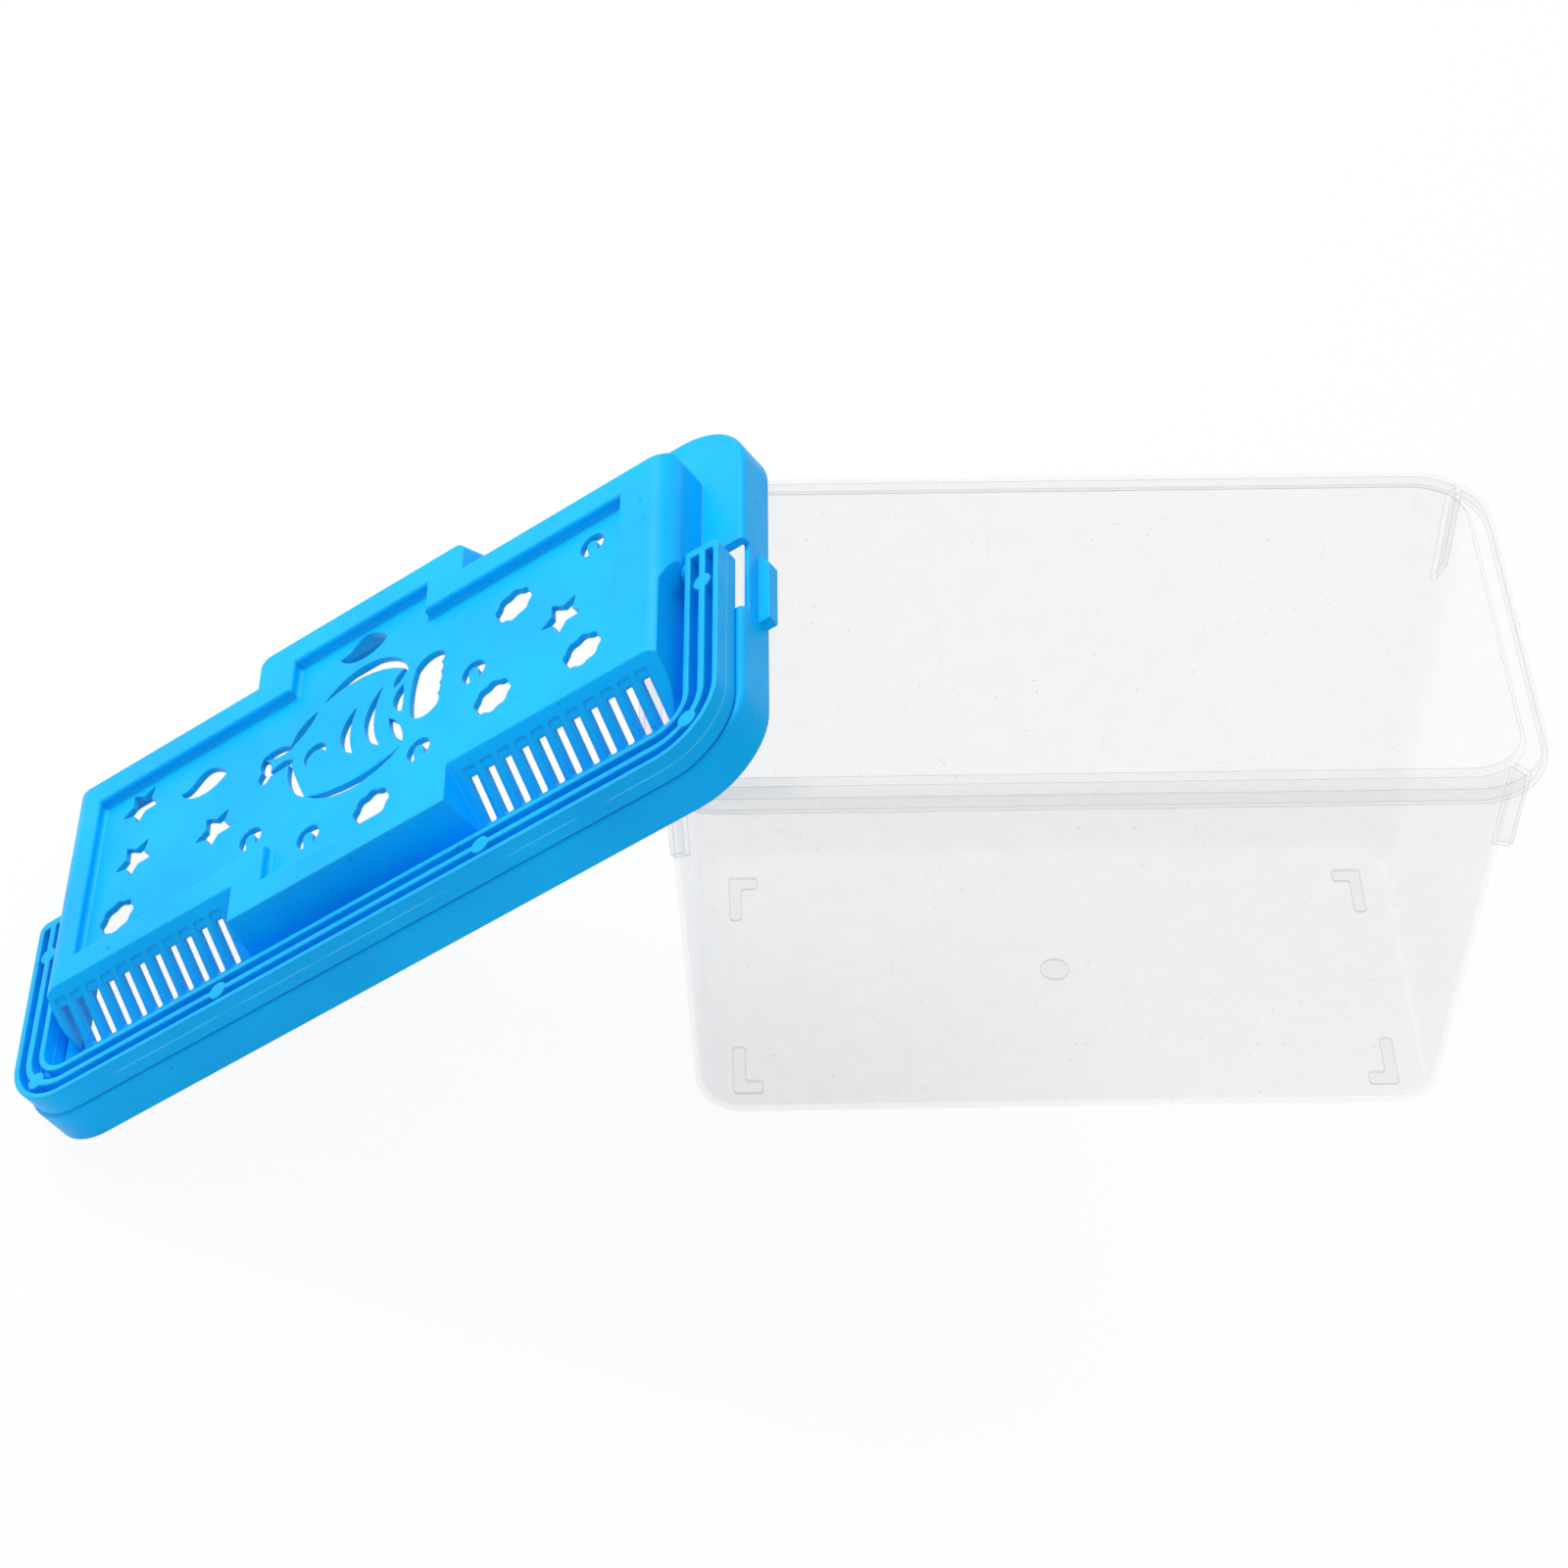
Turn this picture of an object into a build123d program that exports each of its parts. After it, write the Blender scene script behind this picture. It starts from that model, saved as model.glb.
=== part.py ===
from build123d import *
import os
from math import cos, radians, sin

# Betta fish tank with its lid off: a clear moulded tank, a blue lid that leans on the tank's
# left rim edge with one finger tab on the table, and the carrying handle hinged to the lid.
# Millimetres, +Z up, +X along the tank's length, front at -Y, table at z = 0. The tank is
# drawn about the centre of its feet. The lid and the handle are drawn level, in the lid's own
# frame about the centre of the skirt's bottom plane, and leaned at the end. Then all three are
# stood with the middle of the whole set at the origin.

os.makedirs("parts", exist_ok=True)

# Tank
rim_length = 200.0
rim_width = 113.0
tank_height = 113.0
rim_corner = 18.0
rim_reach = 6.5
rim_drop = 4.8
rim_round = 2.0
rim_plate = 1.5
lip_wall = 1.3
wall = 1.3
end_taper = 6.3
side_taper = 5.3
opening_corner = 12.0
floor_corner = 9.7
floor_plate = 1.5
floor_round = 5.0
foot_height = 0.6
foot_end_inset = 9.0
foot_side_inset = 8.8
foot_toe_length = 7.0
foot_toe_width = 4.0
foot_leg_length = 15.2
foot_leg_width = 2.9
foot_round = 0.9
gate_radius = 3.5
gate_depth = 0.5
gate_offset = 2.6
rib_depth = 26.0
rib_reach = 4.5
rib_slant = 2.4
rib_thickness = 1.5

# Lid skirt and ledge
lid_end_gap = 3.0
lid_side_gap = 1.25
lid_wall = 1.3
lid_corner_extra = 0.7
ledge_height = 9.8
ledge_plate = 2.0
ledge_round = 1.2
tab_length = 24.0
tab_centre = -1.5
tab_reach = 2.9
tab_bottom = 0.6
tab_plate = 3.0
tab_slant = 4.9

# Hood
hood_wall = 1.5
hood_height = 12.7
hood_shoulder = 6.0
hood_end_lean = 0.6
hood_corner = 10.0
end_set_in = 3.2
end_set_in_front = -5.0
end_set_in_back = 4.0
front_ledge = 17.0
back_ledge = 14.65
vent_run = 12.8
back_lean = 4.7
nose_half = 33.4
nose_lean = 1.8
nose_front_ledge = 16.0
nose_back_ledge = 4.3
nose_corner = 3.0

# Recessed panel in the hood's top
panel_depth = 2.6
panel_floor = 1.6
panel_left = 82.2
panel_right = 78.3
panel_front = 20.8
panel_back = 31.9
back_bay_half = 20.5
back_bay_reach = 10.1
front_bay_left = 22.8
front_bay_right = 20.3
front_bay_reach = 11.5
front_bay_round = 8.0
panel_cove = 1.2
panel_brow = 1.0

# Vent slots, in two blocks on the sloping front
slot_count = 11
slot_first = 37.5
slot_pitch = 4.8
slot_shift = -1.0
slot_width = 2.2
slot_start = 1.5
slot_length = 11.2
slot_round = 0.6
channel_width = 3.4
channel_depth = 0.2
channel_lead = 2.2

# Handle, hinge and the windows that its arm ends swing through
handle_end_margin = 1.8
handle_front_margin = 0.15
handle_width = 9.2
handle_height = 6.4
handle_corner = 17.0
handle_base = 1.4
handle_wall = 1.4
handle_end_wall = 2.4
handle_rib = 1.6
handle_rib_inset = 4.7
handle_gap = 0.3
hood_gap = 0.35
arm_end = 5.5
arm_round = 2.5
arm_tail = 3.7
pad_radius = 2.3
pad_on_bar = 38.0
pad_on_arm = 9.0
pin_radius = 2.9
pin_clearance = 0.1
pin_length = 4.5
window_front = 13.1
window_back = 10.8
window_depth = 2.5

# How the lid leans: one tab on the table, the ledge's underside just clear of the rim
lean_angle = 36.2
lean_turn = -1.06
lean_shift = 0.2
rim_rest_gap = 0.5

# Sizes that follow from these
opening_length = rim_length - 2 * rim_reach
opening_width = rim_width - 2 * rim_reach
top_length = opening_length + 2 * wall
top_width = opening_width + 2 * wall
floor_length = top_length - 2 * end_taper
floor_width = top_width - 2 * side_taper
lid_length = rim_length + 2 * (lid_end_gap + lid_wall)
lid_width = rim_width + 2 * (lid_side_gap + lid_wall)
lid_corner = rim_corner + lid_corner_extra
ledge_underside = ledge_height - ledge_plate
hood_top = ledge_height + hood_height
handle_half = lid_length / 2 - handle_end_margin
arm_inside = handle_half - handle_width
hood_half = arm_inside - hood_gap
handle_bottom = ledge_height + handle_gap
pivot_height = handle_bottom + handle_height / 2
pivot_y = arm_end - arm_tail
bar_front = lid_width / 2 - handle_front_margin
set_in_half = hood_half - end_set_in
hood_front = front_ledge - lid_width / 2
hood_back = lid_width / 2 - back_ledge


# Tank

# Four upright ribs on the rounded corners, from the rim down
rib_bottom = tank_height - rib_depth
rib_rise = rib_depth - rim_plate / 2
rib_share = (rib_bottom - foot_height) / (tank_height - foot_height)
corner_share = 1 - cos(radians(45))
rib_corner = floor_corner + wall + (opening_corner - floor_corner) * rib_share
rib_x = floor_length / 2 + end_taper * rib_share - rib_corner * corner_share
rib_y = floor_width / 2 + side_taper * rib_share - rib_corner * corner_share
corner_taper = (end_taper + side_taper) / 2 - (opening_corner - floor_corner) * corner_share
rib_lean = corner_taper * (1 - rib_share) / cos(radians(45))

with BuildPart() as corner_ribs:
    rib_plane = Plane(origin=(rib_x, rib_y, rib_bottom), x_dir=(1, 1, 0), z_dir=(1, -1, 0))
    with BuildSketch(rib_plane):
        with BuildLine():
            Polyline(
                (-wall / 2, 0),
                (rib_reach, rib_slant),
                (rib_reach + rib_lean, rib_rise),
                (rib_lean - wall / 2, rib_rise),
                close=True,
            )
        make_face()
    extrude(amount=rib_thickness / 2, both=True)
    mirror(about=Plane.YZ)
    mirror(about=Plane.XZ)

with BuildPart() as tank_moulding:
    with BuildSketch(Plane.XY.offset(tank_height - rim_drop)):
        RectangleRounded(rim_length, rim_width, rim_corner)
    extrude(amount=rim_drop)
    fillet(tank_moulding.faces().sort_by(Axis.Z)[-1].edges(), rim_round)
    with BuildSketch(Plane.XY.offset(tank_height - rim_drop)):
        RectangleRounded(rim_length - 2 * lip_wall, rim_width - 2 * lip_wall, rim_corner - lip_wall)
    extrude(amount=rim_drop - rim_plate, mode=Mode.SUBTRACT)

    # Tapered box, outside and then inside
    with BuildSketch(Plane.XY.offset(foot_height)):
        RectangleRounded(floor_length, floor_width, floor_corner + wall)
    with BuildSketch(Plane.XY.offset(tank_height)):
        RectangleRounded(top_length, top_width, opening_corner + wall)
    loft(ruled=True)
    fillet(tank_moulding.faces().sort_by(Axis.Z)[0].edges(), floor_round)
    with BuildSketch(Plane.XY.offset(foot_height + floor_plate)):
        RectangleRounded(floor_length - 2 * wall, floor_width - 2 * wall, floor_corner)
    with BuildSketch(Plane.XY.offset(tank_height)):
        RectangleRounded(opening_length, opening_width, opening_corner)
    loft(ruled=True, mode=Mode.SUBTRACT)
    inner_floor = tank_moulding.faces().filter_by(Plane.XY).sort_by(Axis.Z)[1]
    fillet(inner_floor.edges(), floor_round - wall)

    add(corner_ribs.part)

    # Four L-shaped feet and the round gate mark under the floor
    with BuildSketch(Plane.XY.offset(foot_height)) as feet:
        foot_x = floor_length / 2 - foot_end_inset
        foot_y = floor_width / 2 - foot_side_inset
        with Locations((foot_x, foot_y)):
            Rectangle(foot_toe_length, foot_toe_width, align=(Align.MAX, Align.MAX))
            Rectangle(foot_leg_width, foot_leg_length, align=(Align.MAX, Align.MAX))
        fillet(feet.vertices(), foot_round)
        mirror(about=Plane.YZ)
        mirror(about=Plane.XZ)
    extrude(amount=-foot_height)
    with BuildSketch(Plane.XY.offset(foot_height)):
        with Locations((0, gate_offset)):
            Circle(gate_radius)
    extrude(amount=gate_depth, mode=Mode.SUBTRACT)


# Hood of the lid

def hood_form(inset):
    """The raised hood as a closed block, every face moved in by the inset."""
    base = ledge_underside - 2 * hood_wall
    drop = ledge_height - base
    top_half = hood_half - hood_end_lean
    front_slope = vent_run / hood_height
    back_slope = back_lean / hood_height
    with BuildPart() as form:
        # Main block: front and back slopes, rounded ends, rounded corners
        with BuildSketch(Plane.YZ):
            with BuildLine():
                Polyline(
                    (hood_front - front_slope * drop, base),
                    (hood_front + vent_run, hood_top),
                    (hood_back - back_lean, hood_top),
                    (hood_back + back_slope * drop, base),
                    close=True,
                )
            make_face()
            offset(amount=-inset, kind=Kind.INTERSECTION)
        extrude(amount=lid_length / 2, both=True)
        with BuildSketch(Plane.XZ) as ends:
            with BuildLine():
                Polyline(
                    (-hood_half, base),
                    (-top_half, hood_top),
                    (top_half, hood_top),
                    (hood_half, base),
                    close=True,
                )
            make_face()
            fillet(ends.vertices().group_by(Axis.Y)[-1], hood_shoulder)
            offset(amount=-inset, kind=Kind.INTERSECTION)
        extrude(amount=lid_width / 2, both=True, mode=Mode.INTERSECT)
        with BuildSketch(Plane.XY.offset(base)) as plan:
            with BuildLine():
                Polyline(
                    (0, hood_front - hood_wall),
                    (set_in_half, hood_front - hood_wall),
                    (set_in_half, end_set_in_front),
                    (hood_half, end_set_in_back),
                    (hood_half, hood_back + hood_wall),
                    (0, hood_back + hood_wall),
                    close=True,
                )
            make_face()
            mirror(about=Plane.YZ)
            fillet(plan.vertices().group_by(Axis.Y)[0], hood_corner)
            fillet(plan.vertices().group_by(Axis.Y)[-1], hood_corner)
            offset(amount=-inset, kind=Kind.INTERSECTION)
        extrude(amount=hood_top, mode=Mode.INTERSECT)
    with BuildPart() as nose:
        # Middle third, which stands out in front and behind
        nose_front = nose_front_ledge - lid_width / 2
        nose_back = lid_width / 2 - nose_back_ledge
        with BuildSketch(Plane.YZ):
            with BuildLine():
                Polyline(
                    (nose_front - nose_lean * drop / hood_height, base),
                    (nose_front + nose_lean, hood_top),
                    (nose_back - back_lean, hood_top),
                    (nose_back + back_slope * drop, base),
                    close=True,
                )
            make_face()
            offset(amount=-inset, kind=Kind.INTERSECTION)
        extrude(amount=nose_half + nose_lean, both=True)
        with BuildSketch(Plane.XZ):
            with BuildLine():
                Polyline(
                    (-nose_half - nose_lean * drop / hood_height, base),
                    (nose_lean - nose_half, hood_top),
                    (nose_half - nose_lean, hood_top),
                    (nose_half + nose_lean * drop / hood_height, base),
                    close=True,
                )
            make_face()
            offset(amount=-inset, kind=Kind.INTERSECTION)
        extrude(amount=lid_width / 2, both=True, mode=Mode.INTERSECT)
        back_corners = nose.edges().filter_by(lambda e: abs(e.tangent_at(0.5).Z) > 0.8)
        fillet(back_corners.group_by(Axis.Y)[-1], nose_corner - inset)
    with BuildPart() as whole:
        add(form.part)
        add(nose.part)
    return whole.part


# Recessed panel outline, seen from above

def panel_outline(margin):
    """Panel with its back and front bays, grown by the margin on every side."""
    with BuildSketch() as outline:
        with BuildLine():
            Polyline(
                (-panel_left, -panel_front),
                (-front_bay_left, -panel_front),
                (-front_bay_left, -panel_front - front_bay_reach),
                (front_bay_right, -panel_front - front_bay_reach),
                (front_bay_right, -panel_front),
                (panel_right, -panel_front),
                (panel_right, panel_back),
                (back_bay_half, panel_back),
                (back_bay_half, panel_back + back_bay_reach),
                (-back_bay_half, panel_back + back_bay_reach),
                (-back_bay_half, panel_back),
                (-panel_left, panel_back),
                close=True,
            )
        make_face()
        fillet(outline.vertices().group_by(Axis.Y)[0].sort_by(Axis.X)[-1], front_bay_round)
        if margin:
            offset(amount=margin, kind=Kind.INTERSECTION)
    return outline.sketch


# Cut-out ornaments: each function returns a flat shape round its own origin

def star():
    """Five-pointed star, turned a little and rounded at the points."""
    with BuildSketch() as shape:
        with BuildLine():
            points = []
            for turn in range(10):
                radius = star_reach if turn % 2 == 0 else star_reach / 2
                angle = radians(star_turn + 36 * turn)
                points.append((radius * cos(angle), radius * sin(angle)))
            Polyline(*points, close=True)
        make_face()
        fillet(shape.vertices(), star_reach * 0.05)
    return shape.sketch


def cloud():
    """Round cloud with an edge of shallow puffs."""
    with BuildSketch() as shape:
        Ellipse(cloud_length * 0.46, cloud_height * 0.46)
        for turn in range(cloud_puffs):
            angle = radians(360 / cloud_puffs * turn)
            with Locations((cloud_length * 0.34 * cos(angle), cloud_height * 0.34 * sin(angle))):
                Circle(cloud_length * 0.16)
    return shape.sketch


def leaf():
    """Pointed leaf: a plain arc below, and a crown that starts hollow at the stalk above."""
    tip = leaf_length / 2
    with BuildSketch() as shape:
        with BuildLine():
            ThreePointArc((-tip, tip * 0.1), (0, -tip * 0.53), (tip, -tip * 0.1))
            Spline(
                (tip, -tip * 0.1),
                (tip * 0.48, tip * 0.45),
                (tip * 0.03, tip * 0.6),
                (-tip * 0.3, tip * 0.42),
                (-tip * 0.56, tip * 0.18),
                (-tip, tip * 0.1),
            )
        make_face()
    return shape.sketch


def bubble():
    """Horseshoe slot of a bubble, with a round-headed tongue that leans in from below."""
    head = bubble_radius * 0.4
    with BuildSketch() as shape:
        Circle(bubble_radius)
        with Locations(Location((0, 0, 0), (0, 0, bubble_lean))):
            Circle(head, mode=Mode.SUBTRACT)
            Rectangle(2 * head, 2 * bubble_radius, align=(Align.CENTER, Align.MAX), mode=Mode.SUBTRACT)
    return shape.sketch


def crescent(start, outer, end, inner):
    """Crescent slot between two arcs that share their ends."""
    with BuildSketch() as shape:
        with BuildLine():
            ThreePointArc(start, outer, end)
            ThreePointArc(end, inner, start)
        make_face()
    return shape.sketch


def tail_fan():
    """Fan of the fish's tail, with a scalloped rear edge."""
    with BuildSketch() as shape:
        with BuildLine():
            ThreePointArc((24.8, -1.5), (20.6, -3.3), (16.9, -0.6))
            ThreePointArc((16.9, -0.6), (16.4, 7), (17.4, 15.2))
            ThreePointArc((17.4, 15.2), (21.6, 18), (25.9, 16.2))
            scallops = ((25.9, 16.2), (25.2, 12.8), (25.3, 9.2), (25, 5.6), (24.7, 2), (24.8, -1.5))
            for upper, lower in zip(scallops, scallops[1:]):
                bulge = ((upper[0] + lower[0]) / 2 + 0.6, (upper[1] + lower[1]) / 2)
                ThreePointArc(upper, bulge, lower)
        make_face()
    return shape.sketch


# Lid

cloud_places = ((46.2, 18.4), (67.3, -12.4), (41.6, -10.6), (7.3, -25), (-72, -12.6))
leaf_places = ((-48.6, 19.1), (-0.2, 35.4))
star_places = ((60.8, 4.2), (-69.6, 24.8), (-69.2, 5.8), (-42.9, -0.6))
bubble_places = ((35.4, 2.2), (68.9, 23.6), (20.4, -14.5), (-30.3, -12.1), (-11.6, -23.3))
cloud_length = 10.7
cloud_height = 10.2
cloud_puffs = 8
leaf_length = 14.8
star_reach = 6.2
star_turn = 120
bubble_radius = 3.4
bubble_lean = 8

# Fish: start, outer middle, end and inner middle of each slot, in the lid's frame
fish_slots = (
    ((-11.3, 22.6), (2.5, 28.3), (15, 17.2), (5, 23.5)),
    ((14.9, 18.2), (11.4, 16.6), (11, 13), (13.5, 15.2)),
    ((-20.8, 12.9), (-18.6, 17.9), (-12.9, 21.2), (-16.2, 16.2)),
    ((-29.6, 14.9), (-25.3, 15.8), (-19.8, 12.8), (-24.6, 12.6)),
    ((-29.4, 14.6), (-29.8, 11.4), (-26.4, 8.5), (-26.8, 11.8)),
    ((-27.8, 10.6), (-30.2, 7.8), (-28.2, 5.2), (-26.3, 7.4)),
    ((-27, 7.2), (-23.4, 9.6), (-19, 7.8), (-23.4, 7.1)),
    ((-20.4, 8.6), (-20.3, 1.2), (-14.3, -7.9), (-17.6, 0.4)),
    ((-13.2, -8.6), (2, -14.6), (14.6, -9.6), (2, -12)),
    ((-14.8, 3.1), (-14.6, 8.2), (-9.2, 4.4), (-13, 6.6)),
    ((-0.2, 14.3), (-4.7, 5.8), (-0.3, -1.9), (-1.7, 5.6)),
    ((7.6, 16.3), (2.5, 6), (7.9, -4.6), (5.5, 5)),
    ((13.9, 12.8), (11.1, 8), (14, 3.3), (14.2, 8)),
    ((10.2, 3.2), (11.3, -2), (15.2, -7.9), (14.2, -2.5)),
)

with BuildPart() as lid_moulding:
    with BuildSketch():
        RectangleRounded(lid_length, lid_width, lid_corner)
    extrude(amount=ledge_height)
    fillet(lid_moulding.faces().sort_by(Axis.Z)[-1].edges(), ledge_round)
    with BuildSketch():
        RectangleRounded(lid_length - 2 * lid_wall, lid_width - 2 * lid_wall, lid_corner - lid_wall)
    extrude(amount=ledge_underside, mode=Mode.SUBTRACT)

    # Finger tab at each end, slanted off at the back
    with BuildSketch(Plane.XY.offset(tab_bottom)):
        tab_root = lid_length / 2 - lid_wall / 2
        with BuildLine():
            Polyline(
                (tab_root, tab_centre - tab_length / 2),
                (lid_length / 2 + tab_reach, tab_centre - tab_length / 2),
                (lid_length / 2 + tab_reach, tab_centre + tab_length / 2 - tab_slant),
                (lid_length / 2, tab_centre + tab_length / 2),
                (tab_root, tab_centre + tab_length / 2),
                close=True,
            )
        make_face()
        mirror(about=Plane.YZ)
    extrude(amount=tab_plate)

    # Hollow hood with the tray of the recessed panel
    hood_outside = split(hood_form(0), bisect_by=Plane.XY.offset(ledge_underside), mode=Mode.PRIVATE)
    add(hood_outside)
    add(hood_form(hood_wall), mode=Mode.SUBTRACT)
    with BuildSketch(Plane.XY.offset(hood_top - panel_depth - panel_floor)):
        add(panel_outline(panel_floor))
    extrude(amount=panel_depth + panel_floor)
    with BuildSketch(Plane.XY.offset(hood_top - panel_depth)):
        add(panel_outline(0))
    extrude(amount=panel_depth, mode=Mode.SUBTRACT)
    panel_face = lid_moulding.faces().filter_by(Plane.XY).filter_by_position(
        Axis.Z, hood_top - panel_depth - 0.01, hood_top - panel_depth + 0.01
    )
    fillet(panel_face.edges(), panel_cove)
    hood_face = lid_moulding.faces().filter_by(Plane.XY).sort_by(Axis.Z)[-1]
    fillet(hood_face.inner_wires()[0].edges(), panel_brow)

    # Ornaments cut through the panel
    with BuildSketch(Plane.XY.offset(hood_top - panel_depth)):
        with Locations(*cloud_places):
            add(cloud())
        with Locations(*leaf_places):
            add(leaf())
        with Locations(*star_places):
            add(star())
        with Locations(*bubble_places):
            add(bubble())
        for points in fish_slots:
            add(crescent(*points))
        add(tail_fan())
    extrude(amount=-2 * panel_floor, mode=Mode.SUBTRACT)

    # Vent slots in shallow channels on the sloping front
    vent_face = Plane(
        origin=(0, hood_front, ledge_height),
        x_dir=(1, 0, 0),
        z_dir=(0, -hood_height, vent_run),
    )
    slot_places = []
    for number in range(slot_count):
        across = slot_first + number * slot_pitch
        slot_places.append((slot_shift + across, slot_start))
        slot_places.append((slot_shift - across, slot_start))
    with BuildSketch(vent_face) as channels:
        with Locations(*slot_places):
            Rectangle(channel_width, slot_length + channel_lead, align=(Align.CENTER, Align.MIN))
        fillet(channels.vertices().group_by(Axis.Y)[-1], slot_round)
    extrude(amount=-channel_depth, mode=Mode.SUBTRACT)
    with BuildSketch(vent_face) as slots:
        with Locations(*slot_places):
            Rectangle(slot_width, slot_length, align=(Align.CENTER, Align.MIN))
        fillet(slots.vertices().group_by(Axis.Y)[0], slot_round)
    extrude(amount=-2 * hood_wall, mode=Mode.SUBTRACT)

    # Pivot holes in the hood's ends, and the windows for the arm ends
    hole_start = set_in_half - 2 * hood_wall
    hole_length = hood_half - hole_start + hood_wall
    for plane, reach in ((Plane.YZ.offset(hole_start), 1), (Plane.YZ.offset(-hole_start), -1)):
        with BuildSketch(plane):
            with Locations((pivot_y, pivot_height)):
                Circle(pin_radius + pin_clearance)
        extrude(amount=reach * hole_length, mode=Mode.SUBTRACT)
    with BuildSketch(Plane.XY.offset(ledge_height - window_depth)):
        window_reach = lid_length / 2 + 1 - hood_half
        with Locations((hood_half, (window_back - window_front) / 2)):
            Rectangle(window_reach, window_front + window_back, align=(Align.MIN, Align.CENTER))
        with Locations((-hood_half, (window_back - window_front) / 2)):
            Rectangle(window_reach, window_front + window_back, align=(Align.MAX, Align.CENTER))
    extrude(amount=window_depth + ledge_plate, mode=Mode.SUBTRACT)


# Handle

def handle_band(outside, inside, ends):
    """U-shaped band seen from above, set in from the outer, inner and end faces."""
    out_x = handle_half - outside
    out_y = bar_front - outside
    in_x = arm_inside + inside
    in_y = bar_front - handle_width + inside
    tip = arm_end - ends
    with BuildSketch() as gap:
        with Locations((0, arm_end + 1)):
            Rectangle(2 * in_x, in_y + arm_end + 1, align=(Align.CENTER, Align.MAX))
        fillet(gap.vertices().group_by(Axis.Y)[0], handle_corner - handle_width + inside)
    with BuildSketch() as band:
        with Locations((0, tip)):
            Rectangle(2 * out_x, out_y + tip, align=(Align.CENTER, Align.MAX))
        fillet(band.vertices().group_by(Axis.Y)[0], handle_corner - outside)
        if outside < arm_round:
            fillet(band.vertices().group_by(Axis.Y)[-1], arm_round - outside)
        add(gap.sketch, mode=Mode.SUBTRACT)
    return band.sketch


with BuildPart() as handle_moulding:
    with BuildSketch(Plane.XY.offset(handle_bottom)):
        add(handle_band(0, 0, 0))
    extrude(amount=handle_height)

    # Two channels from above, with a rib left between them
    rib_inner = handle_rib_inset - handle_rib / 2
    rib_outer = handle_rib_inset + handle_rib / 2
    with BuildSketch(Plane.XY.offset(handle_bottom + handle_base)):
        add(handle_band(handle_width - rib_inner, handle_wall, handle_end_wall))
        add(handle_band(handle_wall, rib_outer, handle_end_wall))
    extrude(amount=handle_height, mode=Mode.SUBTRACT)

    # Round ejector pads standing on the rib
    rib_half = arm_inside + handle_rib_inset
    rib_front = bar_front - handle_width + handle_rib_inset
    rib_bend = handle_corner - handle_width + handle_rib_inset
    corner_pad_x = rib_half - rib_bend * corner_share
    corner_pad_y = rib_front - rib_bend * corner_share
    pad_places = (
        (rib_half, pivot_y - pad_on_arm),
        (corner_pad_x, -corner_pad_y),
        (pad_on_bar, -rib_front),
    )
    with BuildSketch(Plane.XY.offset(handle_bottom)):
        with Locations(*pad_places):
            Circle(pad_radius)
        mirror(about=Plane.YZ)
    extrude(amount=handle_height)

    # Hinge pin through the inner wall of each arm
    pin_root = arm_inside + handle_wall
    for plane, reach in ((Plane.YZ.offset(pin_root), -1), (Plane.YZ.offset(-pin_root), 1)):
        with BuildSketch(plane):
            with Locations((pivot_y, pivot_height)):
                Circle(pin_radius)
        extrude(amount=reach * (pin_length + handle_wall))


# Lean the lid and its handle against the tank

lean_cos = cos(radians(lean_angle))
lean_sin = sin(radians(lean_angle))
turn_cos = cos(radians(lean_turn))
turn_sin = sin(radians(lean_turn))

# The lower outer edge of the left tab touches the table
lean_height = (lid_length / 2 + tab_reach) * lean_sin - tab_bottom * lean_cos

# The ledge's underside passes just above the rim's left end, where its top edge is round
rim_touch_x = -rim_length / 2 + rim_round * (1 - lean_sin)
rim_touch_z = tank_height - rim_round * (1 - lean_cos)
clear_x = rim_touch_x - rim_rest_gap * lean_sin
clear_z = rim_touch_z + rim_rest_gap * lean_cos
along_lid = (clear_z - lean_height - ledge_underside * lean_cos) / lean_sin
lean_x = clear_x - along_lid * lean_cos + ledge_underside * lean_sin

leaning = Plane(
    origin=(lean_x, lean_shift, lean_height),
    x_dir=(lean_cos * turn_cos, lean_cos * turn_sin, lean_sin),
    z_dir=(-lean_sin * turn_cos, -lean_sin * turn_sin, lean_cos),
)

leaning_lid = lid_moulding.part.moved(leaning.location)
leaning_handle = handle_moulding.part.moved(leaning.location)
set_left = leaning_handle.bounding_box().min.X
standing = Location((-(set_left + rim_length / 2) / 2, 0, 0))

with BuildPart() as tank:
    add(tank_moulding.part.moved(standing))

with BuildPart() as lid:
    add(leaning_lid.moved(standing))

with BuildPart() as handle:
    add(leaning_handle.moved(standing))

tank.part.label = "tank"
lid.part.label = "lid"
handle.part.label = "handle"

for piece in (tank, lid, handle):
    export_step(piece.part, f"parts/{piece.part.label}.step")

print("tank's centre at x", round(standing.position.X, 3))
print("lid's origin at", round(lean_x + standing.position.X, 3), lean_shift, round(lean_height, 3))
print("pivot in the lid frame", round(pivot_y, 3), round(pivot_height, 3))
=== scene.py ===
import bpy
import math
import numpy as np
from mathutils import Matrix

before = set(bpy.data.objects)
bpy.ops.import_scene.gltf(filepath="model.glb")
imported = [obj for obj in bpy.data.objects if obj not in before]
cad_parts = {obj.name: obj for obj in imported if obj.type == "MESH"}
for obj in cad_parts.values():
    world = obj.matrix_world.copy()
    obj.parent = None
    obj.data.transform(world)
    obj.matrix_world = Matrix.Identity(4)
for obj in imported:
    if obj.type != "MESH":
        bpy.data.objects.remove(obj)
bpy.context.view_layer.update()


# The clear tank
# Natural polypropylene, injection moulded with thin tapered walls. The resin is nearly colourless
# but a little milky, so the walls read as a pale grey veil. Their darker edges are painted shade,
# standing in for light bent at the rounded edges.

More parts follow.
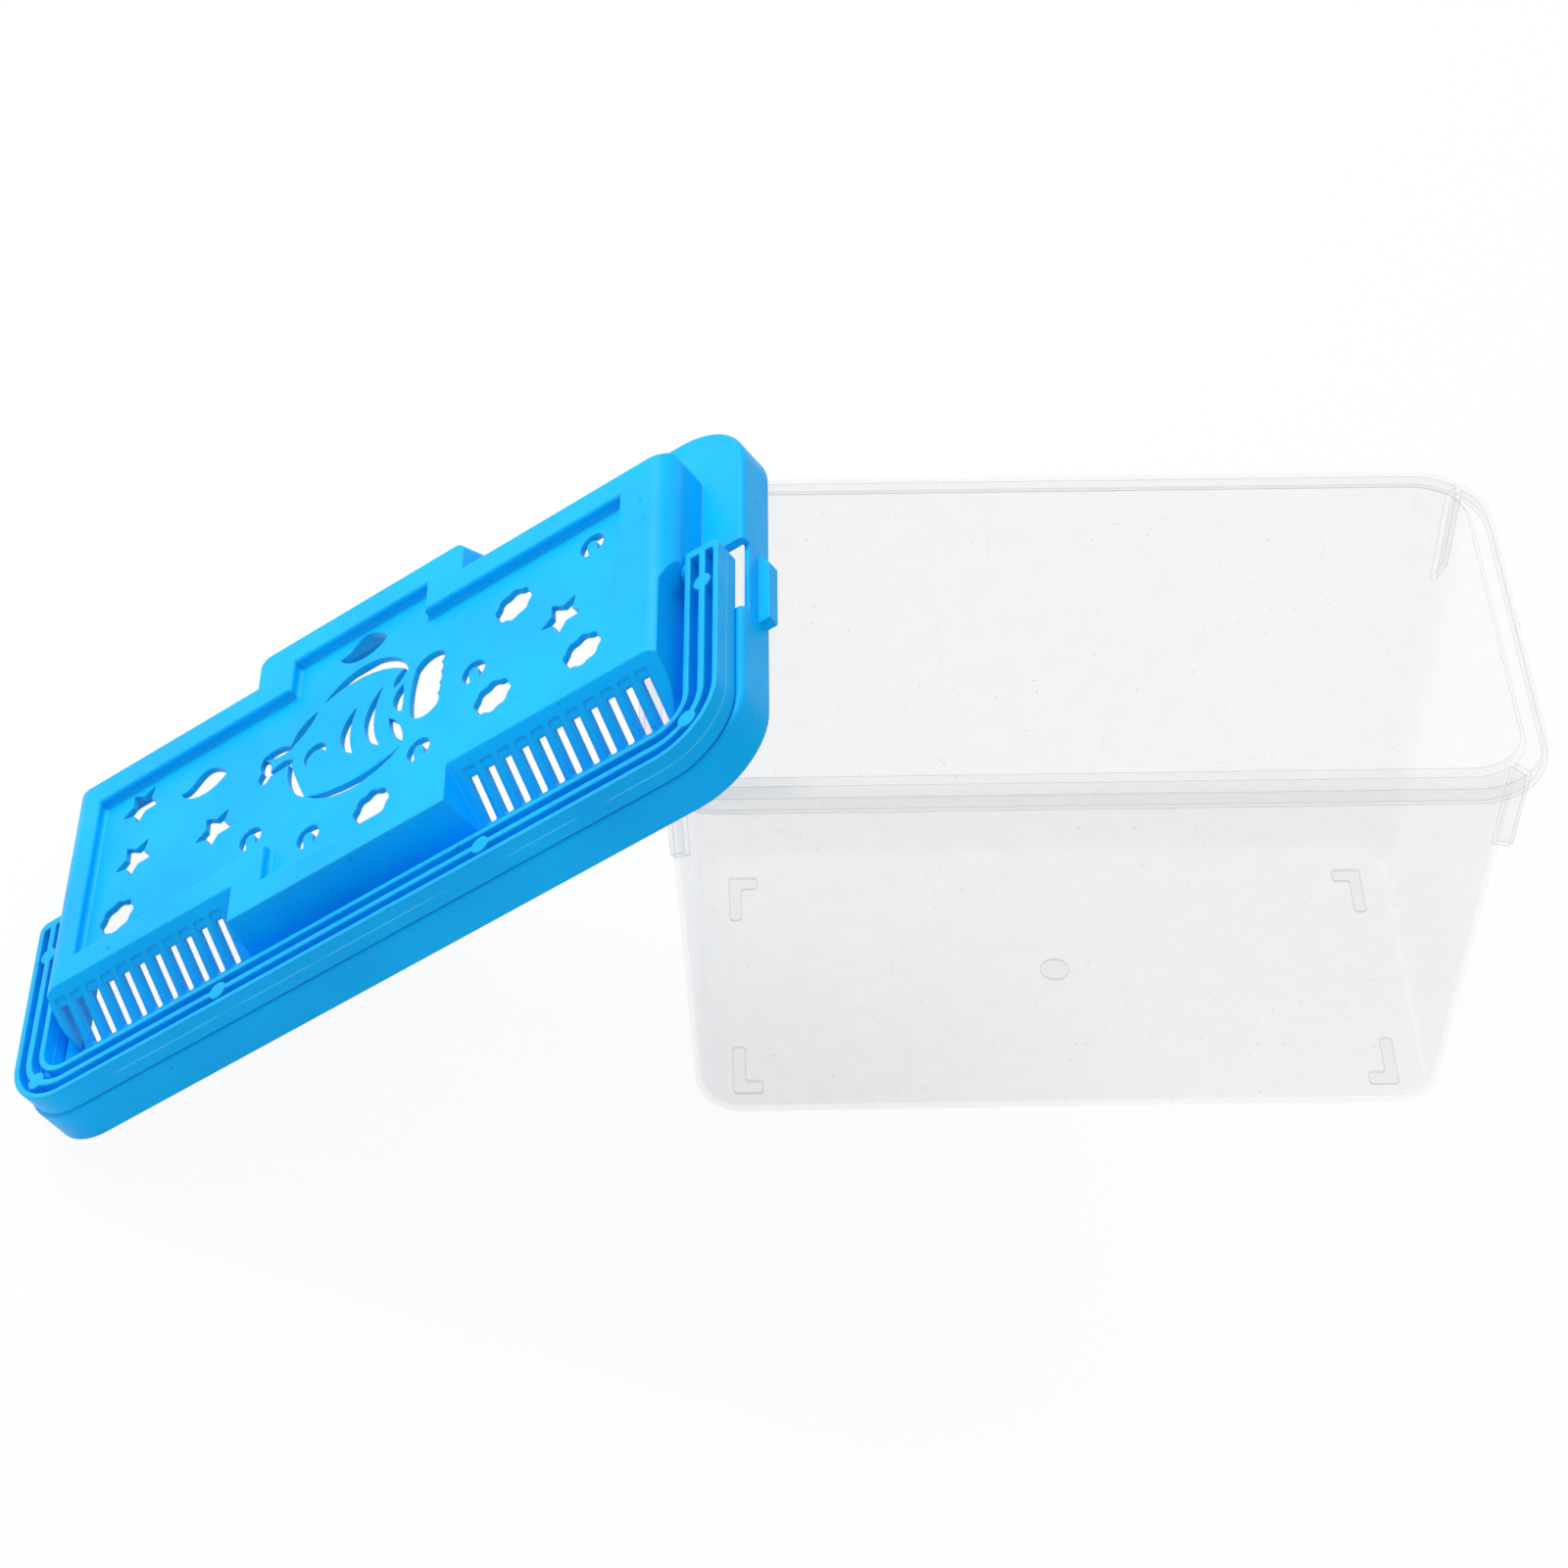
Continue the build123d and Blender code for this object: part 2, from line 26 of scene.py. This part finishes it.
def linear(code):
    """sRGB hex to linear RGBA: c / 12.92 below 0.04045, ((c + 0.055) / 1.055) ** 2.4 above."""
    parts = [int(code[i:i + 2], 16) / 255 for i in (1, 3, 5)]
    return [c / 12.92 if c <= 0.04045 else ((c + 0.055) / 1.055) ** 2.4 for c in parts] + [1.0]


def add_node(tree, kind, settings=None, inputs=None):
    """Adds a node, sets its properties and its sockets: a value, another node's output, or
    another node, which gives its first output in use."""
    node = tree.nodes.new(kind)
    for name, value in (settings or {}).items():
        setattr(node, name, value)
    for name, value in (inputs or {}).items():
        if isinstance(value, bpy.types.Node):
            value = next(socket for socket in value.outputs if socket.enabled)
        if isinstance(value, bpy.types.NodeSocket):
            tree.links.new(value, node.inputs[name])
        else:
            node.inputs[name].default_value = value
    return node


def new_material(name):
    """An empty node material and its output node."""
    material = bpy.data.materials.new(name)
    material.use_nodes = True
    material.node_tree.nodes.clear()
    out = add_node(material.node_tree, "ShaderNodeOutputMaterial")
    return material, material.node_tree, out


def dress(node, material):
    """Gives a CAD node one material on every face."""
    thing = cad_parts[node]
    thing.data.materials.clear()
    thing.data.materials.append(material)


def edge_share(tree, rounded, low, high):
    """How near a point is to a sharp edge, 0 to 1: one minus the cosine of the angle between the
    face's normal and the normal of the rounded edge, mapped from low and high."""
    surface = add_node(tree, "ShaderNodeNewGeometry")
    cosine = add_node(tree, "ShaderNodeVectorMath", {"operation": "DOT_PRODUCT"}, {
        0: rounded, 1: surface.outputs["True Normal"],
    })
    return add_node(tree, "ShaderNodeMapRange", {"interpolation_type": "SMOOTHSTEP"}, {
        "Value": cosine, "From Min": 1 - low, "From Max": 1 - high,
    })


def grain(tree, scale, detail, stretch=(1, 1, 1)):
    """Cloudy pattern fixed to the piece, with the scale in cells per metre."""
    place = add_node(tree, "ShaderNodeTexCoord")
    mapped = add_node(tree, "ShaderNodeMapping", inputs={
        "Vector": place.outputs["Object"], "Scale": stretch,
    })
    return add_node(tree, "ShaderNodeTexNoise", inputs={
        "Vector": mapped, "Scale": scale, "Detail": detail,
    })


clear_plastic, tree, out = new_material("clear_polypropylene")
# A denser, darker veil along sharp edges: painted shade standing in for light bent at the rounded
# edges
rounded = add_node(tree, "ShaderNodeBevel", {"samples": 6}, {"Radius": 0.0007})
edge = edge_share(tree, rounded, 0.03, 0.25)

# Flow marks about 7 mm across, upright scuffs about 1 mm wide, and dust specks about 1 mm
flow = add_node(tree, "ShaderNodeMapRange", inputs={
    "Value": grain(tree, 150, 2), "From Min": 0.3, "From Max": 0.7,
    "To Min": 0.105, "To Max": 0.125,
})
scuff = add_node(tree, "ShaderNodeMapRange", inputs={
    "Value": grain(tree, 700, 2, (1, 1, 0.07)), "From Min": 0.7, "From Max": 0.82, "To Max": 0.06,
})
speck = add_node(tree, "ShaderNodeMapRange", inputs={
    "Value": grain(tree, 900, 0), "From Min": 0.845, "From Max": 0.87, "To Max": 0.2,
})

# The feet and the gate's round pocket under the floor read a little darker than the walls
gate_centre = (0.074033, 0.0026, 0.0008)
place = add_node(tree, "ShaderNodeTexCoord")
height = add_node(tree, "ShaderNodeSeparateXYZ", inputs={"Vector": place.outputs["Object"]})
foot = add_node(tree, "ShaderNodeMapRange", inputs={
    "Value": height.outputs["Z"], "From Min": 0.00045, "From Max": 0.0006,
    "To Min": 0.1, "To Max": 0,
})
from_gate = add_node(tree, "ShaderNodeVectorMath", {"operation": "DISTANCE"}, {
    0: place.outputs["Object"], 1: gate_centre,
})
gate = add_node(tree, "ShaderNodeMapRange", inputs={
    "Value": from_gate, "From Min": 0.003, "From Max": 0.0038, "To Min": 0.07, "To Max": 0,
})
# The milky veil, thicker at sharp edges as painted shade, plus the real flow marks, scuffs,
# specks, feet and gate
milky_veil_and_painted_edge_shade = add_node(tree, "ShaderNodeMapRange", inputs={"Value": edge, "To Min": 0, "To Max": 0.36})
for mark in (flow, scuff, speck, foot, gate):
    milky_veil_and_painted_edge_shade = add_node(tree, "ShaderNodeMath", {"operation": "ADD"}, {0: milky_veil_and_painted_edge_shade, 1: mark})
dirt = add_node(tree, "ShaderNodeMath", {"operation": "ADD"}, {0: speck, 1: gate})
# Pale grey tint, darker at sharp edges as painted shade
veil_tint_with_painted_edge_shade = add_node(tree, "ShaderNodeMix", {"data_type": "RGBA"}, {
    0: edge, 6: linear("#E6E8E8"), 7: linear("#8E9092"),
})
tint = add_node(tree, "ShaderNodeMix", {"data_type": "RGBA"}, {
    0: dirt, 6: veil_tint_with_painted_edge_shade, 7: linear("#77797B"),
})
gloss = add_node(tree, "ShaderNodeMapRange", inputs={
    "Value": grain(tree, 90, 2), "From Min": 0.3, "From Max": 0.7, "To Min": 0.08, "To Max": 0.18,
})
ripple = add_node(tree, "ShaderNodeBump", inputs={
    "Height": grain(tree, 110, 1), "Strength": 0.05, "Distance": 0.0004,
})
body = add_node(tree, "ShaderNodeBsdfPrincipled", inputs={
    "Base Color": tint,
    "Roughness": gloss,
    "IOR": 1.49,
    "Alpha": milky_veil_and_painted_edge_shade,
    "Normal": ripple,
})
tree.links.new(body.outputs["BSDF"], out.inputs["Surface"])
dress("tank", clear_plastic)


# The blue lid and its handle
# Polypropylene coloured in the mass, injection moulded and left softly glossy. Its edges are
# painted paler, a painted highlight and painted light in place of light through the thin edges,
# and the handle shows the parting line of its mould.

lid_origin = (-0.080811, 0.0002, 0.062829)
lean_angle = math.radians(36.2)
lean_turn = math.radians(-1.06)
lid_up = (
    -math.sin(lean_angle) * math.cos(lean_turn),
    -math.sin(lean_angle) * math.sin(lean_turn),
    math.cos(lean_angle),
)
seam_height = 0.0133


def moulded_blue(name, seam_share):
    """Glossy blue moulding. Its edges are painted paler: painted highlights, and painted light in
    place of light through the thin edges. The seam share, 0 to 1, is how strongly the mould's
    parting line shows, on the plane through the hinge pins."""
    material, tree, out = new_material(name)

    # Resin flow about 35 mm across, and dark specks about 1 mm wide
    flow = add_node(tree, "ShaderNodeMapRange", inputs={
        "Value": grain(tree, 28, 2), "From Min": 0.35, "From Max": 0.65,
    })
    cloudy = add_node(tree, "ShaderNodeMix", {"data_type": "RGBA"}, {
        0: flow, 6: linear("#00ACF6"), 7: linear("#00B6FF"),
    })
    speck = add_node(tree, "ShaderNodeMapRange", inputs={
        "Value": grain(tree, 420, 1), "From Min": 0.76, "From Max": 0.8, "To Max": 0.5,
    })
    speckled = add_node(tree, "ShaderNodeMix", {"data_type": "RGBA"}, {
        0: speck, 6: cloudy, 7: linear("#0063A8"),
    })

    # Height above the skirt's bottom plane, on the lid as it leans at rest
    place = add_node(tree, "ShaderNodeTexCoord")
    above = add_node(tree, "ShaderNodeVectorMath", {"operation": "SUBTRACT"}, {
        0: place.outputs["Object"], 1: lid_origin,
    })
    height = add_node(tree, "ShaderNodeVectorMath", {"operation": "DOT_PRODUCT"}, {
        0: above, 1: lid_up,
    })
    from_seam = add_node(tree, "ShaderNodeMath", {"operation": "SUBTRACT"}, {
        0: height, 1: seam_height,
    })
    distance = add_node(tree, "ShaderNodeMath", {"operation": "ABSOLUTE"}, {0: from_seam})
    line = add_node(tree, "ShaderNodeMapRange", inputs={
        "Value": distance, "From Min": 0.00012, "From Max": 0.00026,
        "To Min": seam_share, "To Max": 0,
    })
    broken = add_node(tree, "ShaderNodeMapRange", inputs={
        "Value": grain(tree, 45, 1), "From Min": 0.38, "From Max": 0.46,
    })
    seam = add_node(tree, "ShaderNodeMath", {"operation": "MULTIPLY"}, {0: line, 1: broken})
    # Paler edges: a painted highlight, and painted light in place of light through the thin edges
    rounded = add_node(tree, "ShaderNodeBevel", {"samples": 6}, {"Radius": 0.0008})
    painted_edge_highlight = add_node(tree, "ShaderNodeMath", {"operation": "MULTIPLY"}, {
        0: edge_share(tree, rounded, 0.02, 0.3), 1: 0.55,
    })
    # The parting line or the painted edge highlight, whichever is stronger
    share = add_node(tree, "ShaderNodeMath", {"operation": "MAXIMUM"}, {0: seam, 1: painted_edge_highlight})
    colour = add_node(tree, "ShaderNodeMix", {"data_type": "RGBA"}, {
        0: share, 6: speckled, 7: linear("#55CCFF"),
    })

    gloss = add_node(tree, "ShaderNodeMapRange", inputs={
        "Value": grain(tree, 120, 3, (1, 1, 3)), "From Min": 0.3, "From Max": 0.7,
        "To Min": 0.3, "To Max": 0.46,
    })
    fine = add_node(tree, "ShaderNodeBump", inputs={
        "Height": grain(tree, 1500, 2), "Strength": 0.18, "Distance": 0.0002, "Normal": rounded,
    })
    waves = add_node(tree, "ShaderNodeBump", inputs={
        "Height": grain(tree, 90, 1), "Strength": 0.3, "Distance": 0.0006, "Normal": fine,
    })
    body = add_node(tree, "ShaderNodeBsdfPrincipled", inputs={
        "Base Color": colour,
        "Roughness": gloss,
        "IOR": 1.49,
        "Specular IOR Level": 0.1,
        "Normal": waves,
    })
    tree.links.new(body.outputs["BSDF"], out.inputs["Surface"])
    return material


dress("lid", moulded_blue("blue_polypropylene_lid", 0))
dress("handle", moulded_blue("blue_polypropylene_handle", 0.7))


# Studio
# A white table and white surroundings, a soft lamp above and behind on the left, and a weak
# one in front. Camera, glossy and transmission rays see the table and the world white.

def sees_white(tree):
    """1 for camera, glossy and transmission rays, 0 for the rays that light the object."""
    path = add_node(tree, "ShaderNodeLightPath")
    either = add_node(tree, "ShaderNodeMath", {"operation": "MAXIMUM"}, {
        0: path.outputs["Is Camera Ray"], 1: path.outputs["Is Glossy Ray"],
    })
    return add_node(tree, "ShaderNodeMath", {"operation": "MAXIMUM"}, {
        0: either, 1: path.outputs["Is Transmission Ray"],
    })


reach = 6
mesh = bpy.data.meshes.new("table")
corners = [(-reach, -reach, 0), (reach, -reach, 0), (reach, reach, 0), (-reach, reach, 0)]
mesh.from_pydata(corners, [], [(0, 1, 2, 3)])
table_top = bpy.data.objects.new("table", mesh)
bpy.context.scene.collection.objects.link(table_top)
white_table, tree, out = new_material("white_table")
matte = add_node(tree, "ShaderNodeBsdfDiffuse", inputs={"Color": (0.85, 0.85, 0.85, 1)})
bright = add_node(tree, "ShaderNodeEmission", inputs={"Color": (1, 1, 1, 1), "Strength": 1.0})
share = add_node(tree, "ShaderNodeMath", {"operation": "MULTIPLY"}, {0: sees_white(tree), 1: 0.93})
mixed = add_node(tree, "ShaderNodeMixShader", inputs={0: share, 1: matte, 2: bright})
tree.links.new(mixed.outputs[0], out.inputs["Surface"])
table_top.data.materials.append(white_table)

world = bpy.data.worlds.new("studio")
world.use_nodes = True
tree = world.node_tree
tree.nodes.clear()
out = add_node(tree, "ShaderNodeOutputWorld")
strength = add_node(tree, "ShaderNodeMapRange", inputs={
    "Value": sees_white(tree), "To Min": 0.62, "To Max": 1.0,
})
sky = add_node(tree, "ShaderNodeBackground", inputs={"Color": (1, 1, 1, 1), "Strength": strength})
tree.links.new(sky.outputs[0], out.inputs["Surface"])
bpy.context.scene.world = world


def soft_lamp(name, place, aim, size, watts):
    """A square area lamp that points from its place to the aim."""
    data = bpy.data.lights.new(name, "AREA")
    data.size = size
    data.energy = watts
    lamp = bpy.data.objects.new(name, data)
    bpy.context.scene.collection.objects.link(lamp)
    lamp.location = place
    direction = np.subtract(aim, place)
    yaw = math.atan2(direction[1], direction[0])
    fall = math.atan2(-direction[2], math.hypot(direction[0], direction[1]))
    lamp.rotation_euler = (math.pi / 2 - fall, 0, yaw - math.pi / 2)


soft_lamp("window_lamp", (-0.7, 0.9, 1.3), (-0.05, 0, 0.06), 0.8, 21)
soft_lamp("fill_lamp", (0.9, -1.3, 1.1), (0, 0, 0.06), 1.0, 2)

lens = bpy.data.cameras.new("camera")
lens.sensor_width = 36
lens.lens = 91.62
lens.shift_x = 0.0176
lens.shift_y = 0.0216
lens.clip_start = 0.05
lens.clip_end = 30
camera = bpy.data.objects.new("camera", lens)
camera.location = (-0.01345, -0.69273, 0.69189)
camera.rotation_euler = (math.radians(90 - 42.581), 0, math.radians(-1.166))
bpy.context.scene.collection.objects.link(camera)
bpy.context.scene.camera = camera

bpy.context.scene.view_settings.view_transform = "Standard"
